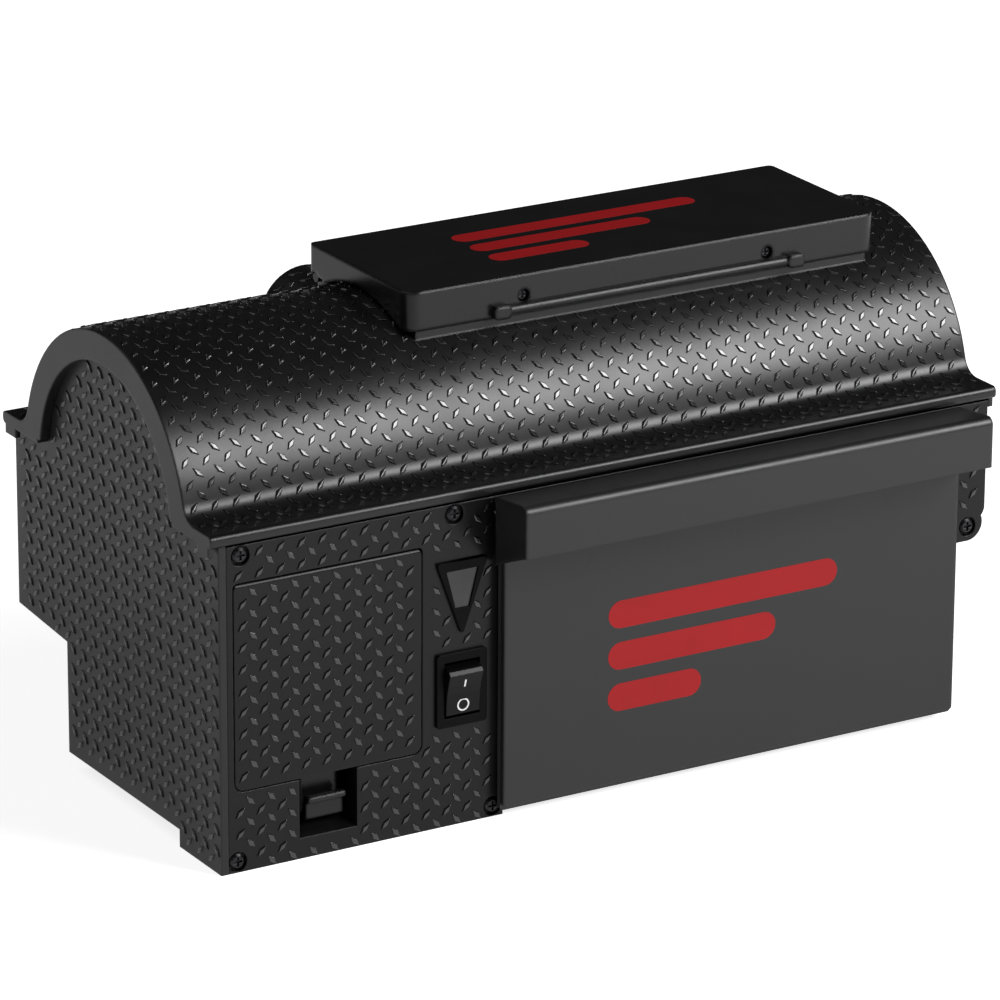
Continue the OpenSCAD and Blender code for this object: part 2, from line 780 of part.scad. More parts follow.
// ---- Batteries -----------------------------------------------------------------------------

module each_cell() {
    for (col = [0, 1], row = [0, 1])
        translate([cell_x0 + col * cell_pitch, 0, cell_z0 + row * cell_pitch]) {
            $nub_front = (col + row) % 2 == 0;
            children();
        }
}

module battery_case() {
    x = cell_x0 - cell_r - 0.65;
    z = cell_z0 - cell_r - 0.5;
    w = cell_pitch + 2 * cell_r + 1.3;
    h = cell_pitch + 2 * cell_r + 1;
    color([0.1, 0.1, 0.105]) placed() {
        difference() {
            block(x - case_wall, case_y, z - case_wall, w + 2 * case_wall, case_l, h + 2 * case_wall);
            block(x, case_y - 1, z, w, case_l - case_wall + 1, h);
        }
        rod_y(cell_x0 + cell_pitch / 2, case_y + 4, cell_z0 + cell_pitch / 2, case_l - 5, 4);
    }
}

module battery_cells() {
    color([0.62, 0.5, 0.26]) placed() each_cell() {
        y = $nub_front ? cell_y : cell_y - 1;
        rod_y(0, y, 0, cell_l, cell_r);
        rod_y(0, $nub_front ? y - cell_nub : y + cell_l - eps, 0, cell_nub + eps, 3.2);
    }
}

function coil_ring(t, n, r, wire) = [for (k = [0:n - 1])
    let (a = 360 * k / n, q = r + wire * cos(a)) [q * cos(t), wire * sin(a), q * sin(t)]];

// A conical coil spring along +Y, from radius r0 to r1 in the given number of turns.
module coil(length, r0, r1, turns, wire) {
    sides = 6;
    rings = turns * 14;
    points = [for (i = [0:rings]) let (u = i / rings)
        each [for (p = coil_ring(360 * turns * u, sides, r0 + (r1 - r0) * u, wire))
              [p[0], p[1] + length * u, p[2]]]];
    faces = concat(
        [for (i = [0:rings - 1], k = [0:sides - 1]) let (a = i * sides, b = (k + 1) % sides)
            [a + k, a + b, a + b + sides, a + k + sides]],
        [[for (k = [sides - 1:-1:0]) k]],
        [[for (k = [0:sides - 1]) rings * sides + k]]);
    polyhedron(points, faces, convexity = 6);
}

module battery_springs() {
    seat_y = case_y + case_l - case_wall;
    color([0.7, 0.7, 0.72]) placed() each_cell() {
        if ($nub_front)
            translate([0, cell_y + cell_l + 0.5, 0]) coil(seat_y - cell_y - cell_l - 1.7, 4, 7, 3, 0.45);
    }
}

module battery_contacts() {
    seat_y = case_y + case_l - case_wall;
    color([0.72, 0.72, 0.74]) placed() each_cell() {
        block(-8, seat_y - 0.6, -8, 16, 0.6, 16);
        if (!$nub_front) rod_y(0, cell_y - 1 + cell_l + cell_nub + 0.2, 0,
                               seat_y - cell_y - cell_l - cell_nub + 0.4, 4);
    }
}

module battery_door() {
    root_x = latch_x - 1.8;
    color([0.07, 0.07, 0.075]) placed() difference() {
        union() {
            // plate: its top edge is a half round, and its corners are rounded
            intersection() {
                along_x(door_x, door_w) {
                    translate([0, door_z]) square([wall, door_h - door_edge]);
                    translate([door_edge, door_z + door_h - door_edge]) circle(door_edge);
                }
                along_y(-1, wall + 2)
                    round_rect(door_x - eps, door_z - eps, door_w + 2 * eps, door_h + 0.6, 2.6);
            }
            // stiffening frame behind the plate
            along_y(wall - eps, 1.2) difference() {
                round_rect(door_x + 2.5, door_z + 3, door_w - 5, door_h - 6, 2);
                round_rect(door_x + 4.3, door_z + 4.8, door_w - 8.6, door_h - 9.6, 1);
            }
            // hooks that hang behind the panel
            for (x = [door_x + 8, door_x + door_w - 16]) {
                block(x, wall - eps, door_z + door_h - 4, 8, 1.8, 4);
                block(x, wall + 0.4, door_z + door_h - 1, 8, 1.4, 3.4);
            }
            // posts of the contact plates
            for (x = [cell_x0, cell_x0 + cell_pitch]) block(x - 3, wall - eps, cell_z0, 6, 4, cell_pitch);
            // root of the latch
            block(root_x, wall - eps, door_z + 0.2, latch_w + 3.6, latch_y + 1.6 - wall, 2.6);
        }
        rod_x(root_x - 1, latch_y, latch_pivot_z, latch_w + 6, 1.35);
    }
}

module door_contacts() {
    color([0.72, 0.72, 0.74]) placed()
        for (x = [cell_x0, cell_x0 + cell_pitch])
            block(x - 5, wall + 4 - eps, cell_z0 - 7, 10, 0.6, cell_pitch + 14);
}

module battery_latch() {
    leg_top = latch_pivot_z;
    toe = 9.4;
    color([0.07, 0.07, 0.075]) placed() {
        rod_x(latch_x, latch_y, latch_pivot_z, latch_w, 0.95);
        along_x(latch_x, latch_w) polygon([
            [latch_y - latch_t / 2, leg_top], [latch_y - latch_t / 2, toe + latch_t],
            [2.1 + latch_t, toe + latch_t], [2.1 + latch_t, latch_top - 0.6], [2.6, latch_top], [0.5, latch_top],
            [0.5, latch_top - 1.4], [2.1, latch_top - 2.2], [2.1, toe + 0.8], [2.9, toe],
            [latch_y - 0.2, toe], [latch_y + latch_t / 2, toe + 0.8], [latch_y + latch_t / 2, leg_top]]);
    }
}

// ---- Gear train ----------------------------------------------------------------------------

function involute(base, a) = base * [cos(a) + a * PI / 180 * sin(a), sin(a) - a * PI / 180 * cos(a)];
function turned(p, a) = [p[0] * cos(a) - p[1] * sin(a), p[0] * sin(a) + p[1] * cos(a)];
function flank_angle(base, r) = r <= base ? 0 : sqrt(pow(r / base, 2) - 1) * 180 / PI;
function inv_at(base, r) = let (a = flank_angle(base, r)) a - atan(a * PI / 180);

// Outline of an involute gear with a tooth centred on angle 0.
module gear_outline(teeth) {
    pitch = gear_m * teeth / 2;
    base = pitch * cos(20);
    tip = pitch + 0.9 * gear_m;
    root = pitch - 1.2 * gear_m;
    half = (45 * gear_m - backlash * 45 / PI) / pitch + inv_at(base, pitch);
    start = max(base, root);
    flank = [for (i = [0:4]) let (r = start + (tip - start) * i / 4)
        turned(involute(base, flank_angle(base, r)), -half)];
    foot = root < base - 0.05 ? [turned([root, 0], -half)] : [];
    side = concat(foot, flank);
    tooth = concat(side, [for (i = [len(side) - 1:-1:0]) [side[i][0], -side[i][1]]]);
    polygon([for (t = [0:teeth - 1]) each [for (p = tooth) turned(p, 360 * t / teeth)]]);
}

module gear(yz, teeth, phase, x, w) {
    along_x(x, w) translate(yz) rotate(phase) gear_outline(teeth);
}

module gear_motor() {
    y = pinion_yz[0];
    z = pinion_yz[1];
    color([0.7, 0.68, 0.6]) placed() difference() {
        union() {
            block(frame_x - 9, y - 6, z - 5, 9, 12, 10);
            along_x(frame_x - 24, 15 + eps) intersection() {
                translate([y, z]) circle(6);
                translate([y - 6, z - 5]) square([12, 10]);
            }
            rod_x(frame_x - 25.5, y, z, 1.6, 2);
            rod_x(frame_x - eps, y, z, 1, 2.3);
        }
        rod_x(frame_x - 5, y, z, 8, gear_pin_r + fit);
    }
}

module motor_pinion() {
    color([0.85, 0.85, 0.82]) placed() {
        gear(pinion_yz, pinion_teeth, pinion_phase, gear_x, gear_w);
        rod_x(frame_x - 4.5, pinion_yz[0], pinion_yz[1], gear_x + gear_w - frame_x + 4.5, gear_pin_r);
    }
}

module idler_gear() {
    color([0.85, 0.85, 0.82]) placed() difference() {
        gear(idler_yz, idler_teeth, idler_phase, gear_x + 0.2, gear_w - 0.4);
        rod_x(gear_x - 1, idler_yz[0], idler_yz[1], gear_w + 2, gear_pin_r + fit);
    }
}

module idler_pin() {
    color([0.6, 0.6, 0.62]) placed() {
        rod_x(frame_x - 1, idler_yz[0], idler_yz[1], gear_x + gear_w - frame_x + 1, gear_pin_r);
        rod_x(gear_x + gear_w, idler_yz[0], idler_yz[1], 0.7, 2.6);
        rod_x(frame_x + frame_t, idler_yz[0], idler_yz[1], gear_x - frame_x - frame_t, 2.6);
    }
}

module chamber_gear() {
    color([0.85, 0.85, 0.82]) placed() difference() {
        gear([drum_y, drum_z], drum_teeth, drum_phase, gear_x, gear_w);
        rod_x(gear_x - 1, drum_y, drum_z, gear_w + 2, journal_r);
        for (a = [0:60:300]) rod_x(gear_x - 1, drum_y + 11.5 * cos(a), drum_z + 11.5 * sin(a), gear_w + 2, 4);
    }
}

// ---- Chamber -------------------------------------------------------------------------------

// Cross-section of the trough: a tube cut open at the top, with a flat floor.
module trough_outline() {
    reach = 2 * drum_r;
    translate([drum_y, drum_z]) {
        difference() {
            circle(drum_r);
            circle(drum_in);
            polygon([[0, 0], [reach * sin(-drum_mouth), reach * cos(drum_mouth)],
                     [reach * sin(drum_mouth), reach * cos(drum_mouth)]]);
        }
        intersection() {
            circle(drum_in + 0.5);
            translate([-drum_r, drum_floor - drum_z - 1.4]) square([2 * drum_r, 1.4]);
        }
    }
}

module chamber_trough() {
    color([0.75, 0.75, 0.72]) placed() difference() {
        union() {
            along_x(drum_x + 1, drum_l - 2) trough_outline();
            for (x = [drum_x, drum_x + drum_l - drum_disc]) along_x(x, drum_disc) intersection() {
                translate([drum_y, drum_z]) circle(drum_r);
                translate([drum_y - drum_r, drum_z - drum_r]) square([2 * drum_r, drum_r + 12]);
            }
            rod_x(frame_x - 2, drum_y, drum_z, drum_x - frame_x + 2 + eps, journal_r);
            rod_x(drum_x + drum_l - eps, drum_y, drum_z, 238 - drum_x - drum_l, journal_r);
            // spacer hub between the trough and its gear
            rod_x(gear_x + gear_w, drum_y, drum_z, drum_x - gear_x - gear_w + eps, 7);
        }
        rod_y(entry_x, drum_y + 5, entry_z, 30, entry_r);
    }
}

module electrode_plates() {
    plate_l = 38;
    plate_w = 22;
    color([0.8, 0.8, 0.82]) placed() for (i = [0:2])
        block(drum_x + 5 + i * (plate_l + 3), drum_y - plate_w / 2, drum_floor, plate_l, plate_w, 0.6);
}

module bait_cup() {
    cup_x = drum_x + drum_l - drum_disc - 8;
    color([0.8, 0.25, 0.15]) placed() difference() {
        translate([cup_x, drum_y, drum_floor]) cylinder(r = 7, h = 9);
        translate([cup_x, drum_y, drum_floor + 1.4]) cylinder(r = 5.8, h = 9);
    }
}

module chamber_bushes() {
    color([0.78, 0.6, 0.3]) placed() for (x = [frame_x, frame_x2]) difference() {
        rod_x(x - 0.5, drum_y, drum_z, frame_t + 1, bush_r);
        rod_x(x - 2, drum_y, drum_z, frame_t + 4, journal_r + fit);
    }
}

module slip_rings() {
    color([0.8, 0.6, 0.3]) placed() for (x = ring_x) difference() {
        rod_x(x, drum_y, drum_z, ring_w, ring_r);
        rod_x(x - 1, drum_y, drum_z, ring_w + 2, journal_r);
    }
}

module brush_holder() {
    color([0.85, 0.82, 0.75]) placed() difference() {
        union() {
            block(frame_x2 + frame_t, drum_y + 14, drum_z - 8, 12, 5, 14);
            block(frame_x2 + frame_t, drum_y + 14, drum_z - 22, 3, 5, 15);
        }
        for (x = ring_x) block(x + 0.6, drum_y + 13, drum_z - 0.9, 1.2, 7, 1.2);
    }
}

// Sprung brass strips that press on the slip rings.
module contact_brushes() {
    color([0.8, 0.6, 0.3]) placed() for (x = ring_x)
        along_x(x + 0.7, 1) polygon([
            [drum_y + ring_r + 0.3, drum_z + 3], [drum_y + ring_r + 0.8, drum_z + 3.2],
            [drum_y + ring_r + 2, drum_z - 0.2], [drum_y + 20, drum_z - 0.2],
            [drum_y + 20, drum_z - 0.7], [drum_y + ring_r + 1.7, drum_z - 0.7]]);
}

// ---- Bait lid ------------------------------------------------------------------------------

module lid_swing() {
    placed() translate([0, hinge_y, hinge_z]) rotate([-lid_open, 0, 0]) translate([0, -hinge_y, -hinge_z])
        children();
}

// The lid's outline, with smaller corners at its rear.
module lid_outline() {
    front = lid_y + lid_r;
    rear = lid_y + lid_d - lid_rear_r;
    translate([lid_x, front]) square([lid_l, rear - front]);
    translate([lid_x + lid_r, lid_y]) square([lid_l - 2 * lid_r, lid_r]);
    translate([lid_x + lid_rear_r, rear]) square([lid_l - 2 * lid_rear_r, lid_rear_r]);
    for (x = [lid_x + lid_r, lid_x + lid_l - lid_r]) translate([x, front]) circle(lid_r);
    for (x = [lid_x + lid_rear_r, lid_x + lid_l - lid_rear_r]) translate([x, rear]) circle(lid_rear_r);
}

module bait_lid() {
    inner = [lid_x + lid_wall, lid_y + lid_wall, lid_l - 2 * lid_wall, lid_d - 2 * lid_wall];
    notch_w = lug_w + 0.8;
    color([0.07, 0.07, 0.075]) lid_swing() difference() {
        union() {
            difference() {
                translate([0, 0, lid_edge_z]) linear_extrude(lid_z - lid_edge_z)
                    lid_outline();
                translate([0, 0, lid_edge_z - 1]) linear_extrude(lid_z - lid_wall - lid_edge_z + 1)
                    round_rect(inner[0], inner[1], inner[2], inner[3], lid_r - lid_wall);
                rod_x(lid_x - 1, dome_y, dome_z, lid_l + 2, dome_r + 0.7);
                block(lid_x - 1, 78.5, lid_edge_z - 1, lid_l + 2, 20, lid_rear_z - lid_edge_z + 1);
                for (x = [inner[0], inner[0] + inner[2] - notch_w])
                    block(x, inner[1] + inner[3] - 1, lid_edge_z - 1, notch_w, lid_wall + 2, 6.9);
            }
            // sleeves round the screw heads, and the pin that presses the interlock
            for (x = lid_screw_x) rod_y(x, inner[1] - eps, lid_screw_z, 1.2, 3);
            translate([lid_plunger[0], lid_plunger[1], lid_plunger[2] + 0.4])
                cylinder(r = 1.5, h = lid_z - lid_plunger[2] - 1.4);
        }
        for (x = lid_screw_x) {
            rod_y(x, lid_y - 1, lid_screw_z, 3.2, 1.85);
            rod_y(x, lid_y - 1, lid_screw_z, 5, 0.9 + fit);
        }
        for (x = [lid_x - 1, lid_x + lid_l - lid_wall - 1])
            rod_x(x, hinge_y, hinge_z, lid_wall + 2, hinge_pin_r + fit);
    }
}

// Ceiling of the chamber, hung under the lid on four legs; the front two reach over the mouth's
// edge to the screws in the lid's front.
module lid_liner() {
    x = mouth_x + 1.2;
    y = mouth_y + 1.4;
    w = mouth_l - 2.4;
    d = mouth_d - 4;
    top = lid_z - lid_wall;
    boss_y = lid_y + lid_wall + 1.2;
    color([0.75, 0.75, 0.72]) lid_swing() difference() {
        union() {
            block(x, y, liner_z, w, d, 1.4);
            for (px = [x + 4, x + w - 8]) block(px, y + d - 7, liner_z, 4, 4, top - liner_z);
            for (px = lid_screw_x) {
                block(px - 3, y + 2, liner_z, 6, 4, top - liner_z);
                block(px - 3, boss_y, coaming_z + 0.5, 6, y + 3 - boss_y, top - coaming_z - 0.5);
                block(px - 3, boss_y, lid_screw_z - 2.4, 6, 2.2, top - lid_screw_z + 2.4);
            }
        }
        for (px = lid_screw_x) rod_y(px, boss_y - 1, lid_screw_z, 5, 0.9 + fit);
    }
}

// Finger bar along the lid's lower front edge, with a block at each end.
module lid_pull() {
    color([0.09, 0.09, 0.095]) lid_swing() {
        intersection() {
            rod_x(pull_x, lid_y - 0.3, pull_z, pull_l, pull_r);
            block(pull_x - 1, lid_y - 3, pull_z - 3, pull_l + 2, 3, 6);
        }
        for (x = [pull_x - 3, pull_x + pull_l - 2])
            along_y(lid_y - 2.2, 2.2) round_rect(x, pull_z - 1.8, 5, 3.6, 0.9);
    }
}

module lid_screws() {
    color([0.15, 0.15, 0.16]) lid_swing()
        for (x = lid_screw_x) screw_y(x, lid_y + 1, lid_screw_z, 2.8, 0.9, 1.7, 1.2);
}

module lid_hinge_pins() {
    color([0.6, 0.6, 0.62]) lid_swing()
        for (x = [lid_x + 0.3, lid_x + lid_l - 0.3 - lid_wall - lug_w - 0.6])
            rod_x(x, hinge_y, hinge_z, lid_wall + lug_w + 0.6, hinge_pin_r);
}

// ---- Interlock switches --------------------------------------------------------------------

module lid_switch() {
    p = lid_plunger;
    color([0.1, 0.1, 0.11]) placed() difference() {
        union() {
            block(p[0] - 6.4, p[1] - 2.9, 116.5, 12.8, 5.8, 6.5);
            for (dx = [-5, 0, 5]) block(p[0] + dx - 0.5, p[1] - 0.3, 113, 1, 0.6, 3.6);
        }
        translate([p[0], p[1], 119]) cylinder(r = plunger_r + 0.1, h = 5);
    }
}

module lid_switch_plunger() {
    p = lid_plunger;
    color([0.75, 0.1, 0.08]) placed()
        translate([p[0], p[1], 119.4]) cylinder(r = plunger_r, h = p[2] - 119.4);
}

module drawer_switch() {
    p = drawer_plunger;
    color([0.1, 0.1, 0.11]) placed() difference() {
        union() {
            block(p[0] - 6.4, 79.1, p[2] - 2.9, 12.8, lower_d - wall - 79.1, 5.8);
            for (dx = [-5, 0, 5]) block(p[0] + dx - 0.5, 81.5, p[2] - 6, 1, 0.6, 3.2);
        }
        rod_y(p[0], 78, p[2], 5, plunger_r + 0.1);
    }
}

module drawer_switch_plunger() {
    p = drawer_plunger;
    color([0.75, 0.1, 0.08]) placed() rod_y(p[0], p[1], p[2], 6, plunger_r);
}

// ---- Drawer --------------------------------------------------------------------------------

module drawer_slid() {
    placed() translate([0, -drawer_open, 0]) children();
}

module drawer_tray() {
    color([0.07, 0.07, 0.075]) drawer_slid() difference() {
        union() {
            // second layer of the front, seen as a thin step round the front plate
            along_y(-2, 1.5 + eps) round_rect(drawer_x, 2, drawer_w + 1, 82, 1.2);
            difference() {
                block(tray_x, -0.5, tray_z, tray_x2 - tray_x, tray_y2 + 0.5, tray_top - tray_z);
                block(tray_x + tray_wall, 1.6, tray_z + tray_wall, tray_x2 - tray_x - 2 * tray_wall,
                      tray_y2 - 1.6 - tray_wall, tray_top);
            }
        }
        for (x = drawer_screw_x) rod_y(x, -3, drawer_screw_z, 6, 0.9 + fit);
    }
}

module drawer_front() {
    hx = drawer_x - 2.1;
    hw = drawer_w + 2.9;
    lip_t = 1.8;
    gusset = [[-handle_reach + lip_t / 2, handle_z - handle_h], [-drawer_proud + 1.6, 73.2],
              [-drawer_proud + 1.6, handle_z - 2.2], [-handle_reach + lip_t / 2, handle_z - 0.9]];
    color([0.07, 0.07, 0.075]) drawer_slid() difference() {
        union() {
            along_y(-drawer_proud, 2) round_rect(drawer_x, 3.4, drawer_w, 89, 1);
            // handle: top plate, hanging lip and an end gusset on each side
            along_x(hx, hw) {
                polygon([[-handle_reach + handle_r, handle_z - 1.8], [-2, handle_z - 3.2], [-2, handle_z - 1.6],
                         [-handle_reach + handle_r, handle_z]]);
                translate([-handle_reach, handle_z - handle_h]) square([lip_t, handle_h - handle_r]);
                translate([-handle_reach + handle_r, handle_z - handle_r]) circle(handle_r);
            }
            for (x = [hx, hx + hw - 1.8]) along_x(x, 1.8) polygon(gusset);
        }
        for (x = drawer_screw_x) rod_y(x, -3.5, drawer_screw_z, 3, 0.9 + fit);
    }
}

module drawer_screws() {
    color([0.15, 0.15, 0.16]) drawer_slid() for (x = drawer_screw_x) mirror([0, 1, 0])
        screw_y(x, -2.8, drawer_screw_z, 5, 0.9, 2, 1.2);
}

base_housing();
front_panel();
top_cover();
entry_stairs();
chamber_frame();
front_screws();
cover_screws();
rubber_feet();
indicator_frame();
indicator_lens();
indicator_led();
switch_body();
switch_rocker();
switch_terminals();
circuit_board();
board_parts();
hv_transformer();
hv_capacitor();
dc_jack();
battery_case();
battery_cells();
battery_springs();
battery_contacts();
battery_door();
battery_latch();
door_contacts();
gear_motor();
motor_pinion();
idler_gear();
idler_pin();
chamber_gear();
chamber_trough();
electrode_plates();
bait_cup();
chamber_bushes();
slip_rings();
brush_holder();
contact_brushes();
bait_lid();
lid_liner();
lid_pull();
lid_screws();
lid_hinge_pins();
lid_switch();
lid_switch_plunger();
drawer_tray();
drawer_front();
drawer_screws();
drawer_switch();
drawer_switch_plunger();
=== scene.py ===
import json
import math

import bmesh
import bpy
from mathutils import Matrix, Vector
from mathutils.bvhtree import BVHTree

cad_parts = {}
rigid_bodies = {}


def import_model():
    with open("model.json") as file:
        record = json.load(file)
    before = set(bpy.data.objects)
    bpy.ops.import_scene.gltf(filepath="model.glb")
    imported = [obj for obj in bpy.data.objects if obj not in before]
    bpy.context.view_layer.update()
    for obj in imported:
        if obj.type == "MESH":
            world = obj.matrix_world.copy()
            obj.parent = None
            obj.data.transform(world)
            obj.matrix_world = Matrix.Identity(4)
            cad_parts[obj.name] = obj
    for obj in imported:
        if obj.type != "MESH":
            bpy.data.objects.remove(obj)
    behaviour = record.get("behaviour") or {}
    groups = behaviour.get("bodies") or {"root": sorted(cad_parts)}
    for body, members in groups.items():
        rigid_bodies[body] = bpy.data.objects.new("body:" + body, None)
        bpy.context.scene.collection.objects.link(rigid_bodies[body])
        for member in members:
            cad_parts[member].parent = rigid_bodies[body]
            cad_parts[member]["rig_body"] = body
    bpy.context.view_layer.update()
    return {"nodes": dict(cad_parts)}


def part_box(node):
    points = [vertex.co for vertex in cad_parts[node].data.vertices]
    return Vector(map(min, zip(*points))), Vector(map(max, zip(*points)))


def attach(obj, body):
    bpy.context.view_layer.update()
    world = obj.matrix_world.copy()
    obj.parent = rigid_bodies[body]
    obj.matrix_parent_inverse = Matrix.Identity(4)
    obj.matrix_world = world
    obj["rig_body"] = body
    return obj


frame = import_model()

MM = 0.001
NODES = frame["nodes"]


# ---------------------------------------------------------------- materials

def new_material(name):
    """A material with a node tree that holds one Principled shader, and the shader."""
    mat = bpy.data.materials.new(name)
    mat.use_nodes = True
    return mat, mat.node_tree.nodes["Principled BSDF"]


def noise(tree, scale, detail=3.0):
    """A noise texture fixed to the object; scale is in cells per metre."""
    coords = tree.nodes.new("ShaderNodeTexCoord")
    tex = tree.nodes.new("ShaderNodeTexNoise")
    tex.inputs["Scale"].default_value = scale
    tex.inputs["Detail"].default_value = detail
    tree.links.new(coords.outputs["Object"], tex.inputs["Vector"])
    return tex.outputs["Fac"]


def spread(tree, fac, low, high):
    """A map of a 0 to 1 noise value onto low to high, with its middle stretched."""
    ramp = tree.nodes.new("ShaderNodeMapRange")
    ramp.inputs["From Min"].default_value = 0.3
    ramp.inputs["From Max"].default_value = 0.7
    ramp.inputs["To Min"].default_value = low
    ramp.inputs["To Max"].default_value = high
    tree.links.new(fac, ramp.inputs["Value"])
    return ramp.outputs["Result"]


def blend_colours(tree, fac, dark, light):
    """A colour between dark and light by the noise value."""
    ramp = tree.nodes.new("ShaderNodeValToRGB")
    ramp.color_ramp.elements[0].position = 0.35
    ramp.color_ramp.elements[0].color = (*dark, 1)
    ramp.color_ramp.elements[1].position = 0.65
    ramp.color_ramp.elements[1].color = (*light, 1)
    tree.links.new(fac, ramp.inputs["Fac"])
    return ramp.outputs["Color"]


def bump(tree, shader, height, distance, edge=0.0):
    """Bump by the height value, distance metres deep, over edges that are rounded by a radius."""
    node = tree.nodes.new("ShaderNodeBump")
    node.inputs["Strength"].default_value = 1.0
    node.inputs["Distance"].default_value = distance
    tree.links.new(height, node.inputs["Height"])
    if edge:
        rounding = tree.nodes.new("ShaderNodeBevel")
        rounding.samples = 6
        rounding.inputs["Radius"].default_value = edge
        tree.links.new(rounding.outputs["Normal"], node.inputs["Normal"])
    tree.links.new(node.outputs["Normal"], shader.inputs["Normal"])


def moulded(name, colour, roughness, specular=0.5, grain=2600, depth=0.000004, shade=0.12, mottle=70,
            edge=0.0):
    """Moulded plastic: fine spark-eroded grain, with slow changes of tone and gloss across the wall."""
    mat, shader = new_material(name)
    tree = mat.node_tree
    slow = noise(tree, mottle, 4)
    fine = noise(tree, grain, 2)
    dark = [c * (1 - shade) for c in colour]
    light = [c * (1 + shade) for c in colour]
    tree.links.new(blend_colours(tree, slow, dark, light), shader.inputs["Base Color"])
    tree.links.new(spread(tree, slow, roughness - 0.03, roughness + 0.03), shader.inputs["Roughness"])
    shader.inputs["Specular IOR Level"].default_value = specular
    bump(tree, shader, fine, depth, edge)
    return mat


def metal(name, colour, roughness, grain=900, depth=0.000006, shade=0.1, edge=0.0):
    """Plated or bright metal with a fine worn surface."""
    mat, shader = new_material(name)
    tree = mat.node_tree
    wear = noise(tree, grain, 5)
    dark = [c * (1 - shade) for c in colour]
    tree.links.new(blend_colours(tree, wear, dark, colour), shader.inputs["Base Color"])
    tree.links.new(spread(tree, wear, roughness - 0.06, roughness + 0.08), shader.inputs["Roughness"])
    shader.inputs["Metallic"].default_value = 1.0
    bump(tree, shader, wear, depth, edge)
    return mat


def banded(name, low_colour, high_colour, scale, roughness):
    """Two colours in bands along X, as on the jacket of a dry cell; a larger scale is a narrower band."""
    mat, shader = new_material(name)
    tree = mat.node_tree
    coords = tree.nodes.new("ShaderNodeTexCoord")
    wave = tree.nodes.new("ShaderNodeTexWave")
    wave.bands_direction = "X"
    wave.inputs["Scale"].default_value = scale
    wave.inputs["Distortion"].default_value = 0.0
    tree.links.new(coords.outputs["Object"], wave.inputs["Vector"])
    tree.links.new(blend_colours(tree, wave.outputs["Fac"], low_colour, high_colour),
                   shader.inputs["Base Color"])
    tree.links.new(spread(tree, noise(tree, 400), roughness - 0.05, roughness + 0.05),
                   shader.inputs["Roughness"])
    return mat


M = {
    "housing": moulded("housing_black", (0.006, 0.006, 0.0065), 0.32, specular=0.42, edge=0.0009),
    "housing_tread": moulded("housing_tread_black", (0.007, 0.007, 0.0075), 0.20, specular=0.9, edge=0.0002),
    "panel": moulded("panel_black", (0.004, 0.004, 0.0045), 0.30, specular=0.28, edge=0.0006),
    "panel_tread": moulded("panel_tread_black", (0.006, 0.006, 0.0065), 0.20, specular=1.0, edge=0.0002),
    "end": moulded("end_wall_black", (0.010, 0.010, 0.0105), 0.38, specular=0.42, edge=0.0008),
    "end_tread": moulded("end_tread_black", (0.012, 0.012, 0.0125), 0.22, specular=1.0, edge=0.0002),
    "lid": moulded("lid_black", (0.007, 0.007, 0.0075), 0.25, specular=0.36, grain=3400, edge=0.0015),
    "drawer": moulded("drawer_black", (0.013, 0.013, 0.0135), 0.38, specular=0.50, grain=3400, shade=0.05,
                      edge=0.0013),
    "inner": moulded("inner_black", (0.030, 0.030, 0.032), 0.50),
    "chamber": moulded("chamber_grey", (0.46, 0.46, 0.45), 0.38, shade=0.04),
    "rubber": moulded("foot_rubber", (0.014, 0.014, 0.014), 0.75, specular=0.3, grain=1500, depth=0.00002),
    "lens": moulded("smoked_lens", (0.040, 0.040, 0.041), 0.30, grain=2000),
    "led": moulded("led_red", (0.45, 0.02, 0.015), 0.12, shade=0.05),
    "switch": moulded("switch_black", (0.003, 0.003, 0.003), 0.26, specular=0.18, grain=3800, edge=0.0004),
    "bezel": moulded("bezel_black", (0.002, 0.002, 0.002), 0.36, specular=0.08, edge=0.0004),
    "button": moulded("button_red", (0.42, 0.03, 0.02), 0.35),
    "board": moulded("board_green", (0.015, 0.13, 0.045), 0.30, mottle=260, shade=0.3),
    "chip": moulded("chip_black", (0.020, 0.020, 0.022), 0.55),
    "coil": moulded("coil_tape", (0.55, 0.34, 0.05), 0.35, mottle=300),
    "capacitor": moulded("capacitor_blue", (0.03, 0.05, 0.22), 0.25),
    "cup": moulded("bait_cup_red", (0.48, 0.06, 0.03), 0.25),
    "nylon": moulded("gear_nylon", (0.72, 0.72, 0.66), 0.42, shade=0.05),
    "mark": moulded("red_ink", (0.34, 0.010, 0.012), 0.40, specular=0.2, shade=0.03, grain=5000,
                    depth=0.000002),
    "white": moulded("white_ink", (0.80, 0.80, 0.80), 0.45, shade=0.02),
    "steel": metal("plated_steel", (0.62, 0.62, 0.64), 0.28),
    "black_steel": metal("black_oxide", (0.045, 0.045, 0.048), 0.34, shade=0.3, edge=0.0003),
    "brass": metal("brass", (0.72, 0.52, 0.22), 0.26),
    "cells": banded("cell_jacket", (0.42, 0.27, 0.08), (0.02, 0.02, 0.022), 11.0, 0.3),
}

